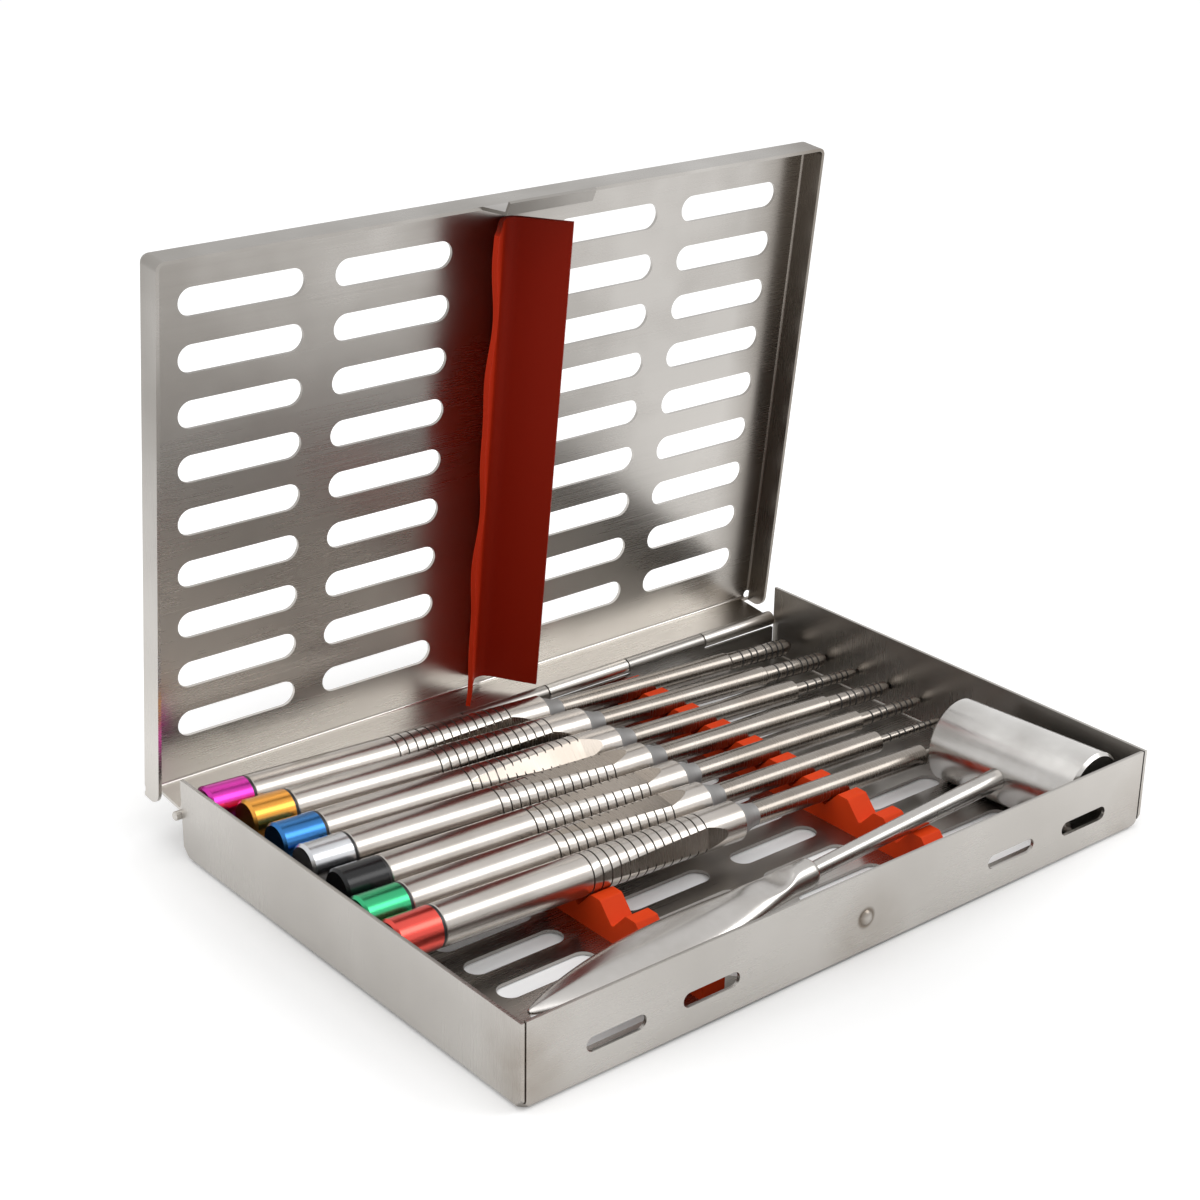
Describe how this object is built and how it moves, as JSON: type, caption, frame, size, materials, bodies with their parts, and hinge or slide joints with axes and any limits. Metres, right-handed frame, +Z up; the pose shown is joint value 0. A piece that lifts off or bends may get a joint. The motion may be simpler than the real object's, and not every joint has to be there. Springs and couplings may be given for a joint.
{
  "type": "dental instrument cassette",
  "caption": "Perforated steel cassette with a hinged lid, silicone racks and hold-down strip, holding colour-capped sinus osteotomes and a small surgical mallet.",
  "frame": {"origin": "centre of the tray's underside, on the surface it stands on", "axes": "+X along the tray's long side, +Y towards the hinge, +Z up"},
  "size_m": [0.2088, 0.1547, 0.1585],
  "materials": {
    "stainless_sheet": "fine horizontal brushing, satin",
    "stainless_rod": "drawn rod",
    "silicone": "matte orange-red silicone",
    "seal_ring": "matte black",
    "handle_steel": "fine satin",
    "shaft_steel": "satin, grey blasted cone",
    "mallet_steel": "satin",
    "cap_magenta": "glossy anodised",
    "cap_gold": "glossy anodised",
    "cap_blue": "glossy anodised",
    "cap_silver": "glossy anodised",
    "cap_black": "glossy anodised",
    "cap_green": "glossy anodised",
    "cap_red": "glossy anodised"
  },
  "bodies": {
    "tray": {"tray_shell": "stainless_sheet", "hinge_pin": "stainless_rod", "rack_left": "silicone", "rack_right": "silicone"},
    "lid": {"lid_shell": "stainless_sheet", "hold_down_strip": "silicone"},
    "mallet": {"mallet_head": "mallet_steel", "mallet_handle": "mallet_steel"},
    "osteotome_1": {"osteotome_1_cap": "cap_magenta", "osteotome_1_ring": "seal_ring", "osteotome_1_handle": "handle_steel", "osteotome_1_shaft": "shaft_steel"},
    "osteotome_2": {"osteotome_2_cap": "cap_gold", "osteotome_2_ring": "seal_ring", "osteotome_2_handle": "handle_steel", "osteotome_2_shaft": "shaft_steel"},
    "osteotome_3": {"osteotome_3_cap": "cap_blue", "osteotome_3_ring": "seal_ring", "osteotome_3_handle": "handle_steel", "osteotome_3_shaft": "shaft_steel"},
    "osteotome_4": {"osteotome_4_cap": "cap_silver", "osteotome_4_ring": "seal_ring", "osteotome_4_handle": "handle_steel", "osteotome_4_shaft": "shaft_steel"},
    "osteotome_5": {"osteotome_5_cap": "cap_black", "osteotome_5_ring": "seal_ring", "osteotome_5_handle": "handle_steel", "osteotome_5_shaft": "shaft_steel"},
    "osteotome_6": {"osteotome_6_cap": "cap_green", "osteotome_6_ring": "seal_ring", "osteotome_6_handle": "handle_steel", "osteotome_6_shaft": "shaft_steel"},
    "osteotome_7": {"osteotome_7_cap": "cap_red", "osteotome_7_ring": "seal_ring", "osteotome_7_handle": "handle_steel", "osteotome_7_shaft": "shaft_steel"}
  },
  "joints": [
    {"name": "lid_hinge", "type": "hinge", "parent": "tray", "child": "lid", "pos_m": [0, 0.0704, 0.01165], "axis": [-1, 0, 0], "range_deg": [-83.72, 0]},
    {"name": "osteotome_1_lift", "type": "slide", "parent": "tray", "child": "osteotome_1", "axis": [0, 0, 1], "range_m": [0, 0.03]},
    {"name": "osteotome_2_lift", "type": "slide", "parent": "tray", "child": "osteotome_2", "axis": [0, 0, 1], "range_m": [0, 0.03]},
    {"name": "osteotome_3_lift", "type": "slide", "parent": "tray", "child": "osteotome_3", "axis": [0, 0, 1], "range_m": [0, 0.03]},
    {"name": "osteotome_4_lift", "type": "slide", "parent": "tray", "child": "osteotome_4", "axis": [0, 0, 1], "range_m": [0, 0.03]},
    {"name": "osteotome_5_lift", "type": "slide", "parent": "tray", "child": "osteotome_5", "axis": [0, 0, 1], "range_m": [0, 0.03]},
    {"name": "osteotome_6_lift", "type": "slide", "parent": "tray", "child": "osteotome_6", "axis": [0, 0, 1], "range_m": [0, 0.03]},
    {"name": "osteotome_7_lift", "type": "slide", "parent": "tray", "child": "osteotome_7", "axis": [0, 0, 1], "range_m": [0, 0.03]},
    {"name": "mallet_lift", "type": "slide", "parent": "tray", "child": "mallet", "axis": [0, 0, 1], "range_m": [0, 0.03]}
  ]
}
